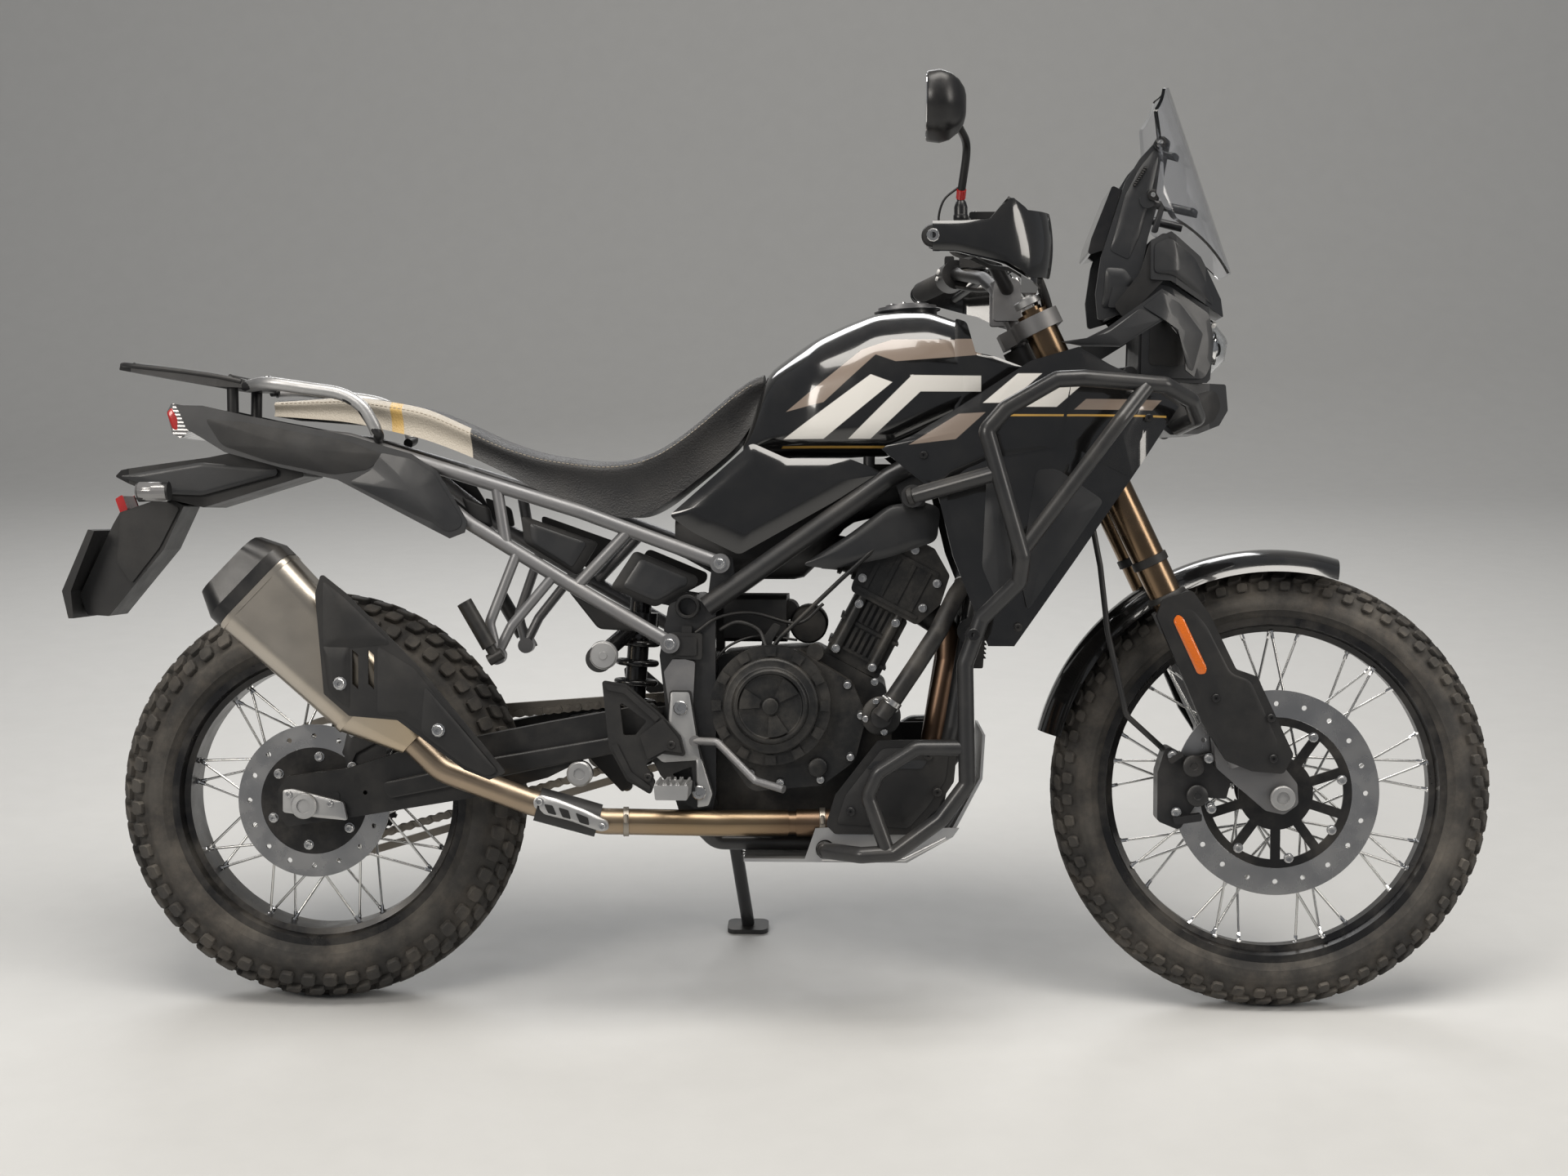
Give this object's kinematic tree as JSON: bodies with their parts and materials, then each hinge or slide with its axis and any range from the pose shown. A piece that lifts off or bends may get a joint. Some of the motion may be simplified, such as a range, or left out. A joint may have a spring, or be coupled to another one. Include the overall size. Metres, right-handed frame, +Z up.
{
  "type": "adventure motorcycle",
  "caption": "Upright adventure motorcycle with laced spoke wheels, crash bars, tall screen, luggage rack and a high silencer, leaning on its side stand.",
  "frame": {"origin": "middle of the box's floor, on the ground under the parked machine", "axes": "+X forwards, +Y to the machine's left, +Z up from the ground; the machine leans to its left on the stand"},
  "size_m": [2.249, 0.8832, 1.4601],
  "materials": {
    "bar_black": "satin",
    "caliper_black": "anodised",
    "cast_grey": "cast",
    "chain_steel": "oiled",
    "dark_grey": "satin",
    "dash_black": "gloss",
    "disc_steel": "machined",
    "engine_black": "satin",
    "fork_bronze": "anodised",
    "frame_gunmetal": "satin",
    "gloss_black": "gloss",
    "hub_black": "satin",
    "lamp_clear": "clear",
    "lamp_red": "gloss",
    "matt_black": "matt",
    "mirror_black": "satin",
    "pipe_bronze": "heat tinted",
    "plate_silver": "satin",
    "rack_black": "painted",
    "radiator_black": "painted",
    "rim_black": "satin black",
    "screen_clear": "clear",
    "seat_leather": "textured vinyl",
    "silencer_steel": "brushed",
    "skid_silver": "satin",
    "spoke_steel": "bright",
    "subframe_silver": "satin",
    "tyre_rubber": "dusty, matt"
  },
  "bodies": {
    "chassis": {"belly_panels": "matt_black", "cowl_trims": "dark_grey", "crankcase": "engine_black", "crash_bars": "frame_gunmetal", "cylinder": "engine_black", "dash": "dash_black", "drive_chain": "chain_steel", "engine_covers": "engine_black", "exhaust_pipe": "pipe_bronze", "foot_controls": "cast_grey", "footrest_plates": "plate_silver", "front_cowl": "dark_grey", "fuel_tank": "gloss_black", "headlight": "lamp_clear", "heat_shields": "matt_black", "main_frame": "frame_gunmetal", "nose_lip": "dark_grey", "radiator": "radiator_black", "rear_caliper": "caliper_black", "rear_fender": "matt_black", "rear_rack": "rack_black", "rear_shock": "bar_black", "screen_tower": "dark_grey", "seat": "seat_leather", "shrouds": "gloss_black", "side_panels": "gloss_black", "silencer": "silencer_steel", "silencer_cap": "gloss_black", "skid_plate": "skid_silver", "subframe": "subframe_silver", "swingarm": "bar_black", "tail_cowl": "dark_grey", "tail_light": "lamp_red", "windscreen": "screen_clear"},
    "steering": {"fork_clamps": "cast_grey", "fork_tubes": "fork_bronze", "fork_lowers": "cast_grey", "fork_guards": "matt_black", "front_fender": "gloss_black", "handlebar": "bar_black", "controls": "bar_black", "handguards": "gloss_black", "mirror_right": "mirror_black", "front_caliper": "caliper_black"},
    "front_wheel": {"front_tyre": "tyre_rubber", "front_rim": "rim_black", "front_spokes": "spoke_steel", "front_hub": "hub_black", "front_disc": "disc_steel"},
    "rear_wheel": {"rear_tyre": "tyre_rubber", "rear_rim": "rim_black", "rear_spokes": "spoke_steel", "rear_hub": "hub_black", "rear_disc": "disc_steel"},
    "side_stand": {"side_stand": "frame_gunmetal"},
    "fuel_cap": {"fuel_cap": "cast_grey"},
    "rider_peg_right": {"rider_peg_right": "plate_silver"},
    "rider_peg_left": {"rider_peg_left": "plate_silver"},
    "passenger_peg_right": {"passenger_peg_right": "bar_black"},
    "passenger_peg_left": {"passenger_peg_left": "bar_black"}
  },
  "joints": [
    {"name": "steering_turn", "type": "hinge", "parent": "chassis", "child": "steering", "pos_m": [0.42737, -0.04258, 0.93093], "axis": [-0.4305, 0.1799, 0.8845], "range_deg": [-31, 31]},
    {"name": "front_wheel_spin", "type": "hinge", "parent": "steering", "child": "front_wheel", "pos_m": [0.7785, -0.16281, 0.33999], "axis": [0, 0.9799, -0.1994], "continuous": true},
    {"name": "rear_wheel_spin", "type": "hinge", "parent": "chassis", "child": "rear_wheel", "pos_m": [-0.7265, -0.16688, 0.31999], "axis": [0, 0.9799, -0.1994], "continuous": true},
    {"name": "side_stand_fold", "type": "hinge", "parent": "chassis", "child": "side_stand", "pos_m": [-0.0865, -0.0307, 0.25703], "axis": [0.0915, 0.905, 0.4155], "range_deg": [0, 85]},
    {"name": "fuel_cap_open", "type": "hinge", "parent": "chassis", "child": "fuel_cap", "pos_m": [0.25193, -0.0109, 1.08666], "axis": [0, 0.9799, -0.1994], "range_deg": [0, 95]},
    {"name": "rider_peg_right_fold", "type": "hinge", "parent": "chassis", "child": "rider_peg_right", "pos_m": [-0.1495, -0.3264, 0.38862], "axis": [-1, 0, 0], "range_deg": [0, 50]},
    {"name": "rider_peg_left_fold", "type": "hinge", "parent": "chassis", "child": "rider_peg_left", "pos_m": [-0.1495, 0.00678, 0.32084], "axis": [1, 0, 0], "range_deg": [0, 50]},
    {"name": "passenger_peg_right_fold", "type": "hinge", "parent": "chassis", "child": "passenger_peg_right", "pos_m": [-0.4255, -0.2928, 0.58385], "axis": [0.866, 0.0997, 0.49], "range_deg": [0, 90]},
    {"name": "passenger_peg_left_fold", "type": "hinge", "parent": "chassis", "child": "passenger_peg_left", "pos_m": [-0.4255, 0.05213, 0.51367], "axis": [-0.866, -0.0997, -0.49], "range_deg": [0, 90]}
  ]
}
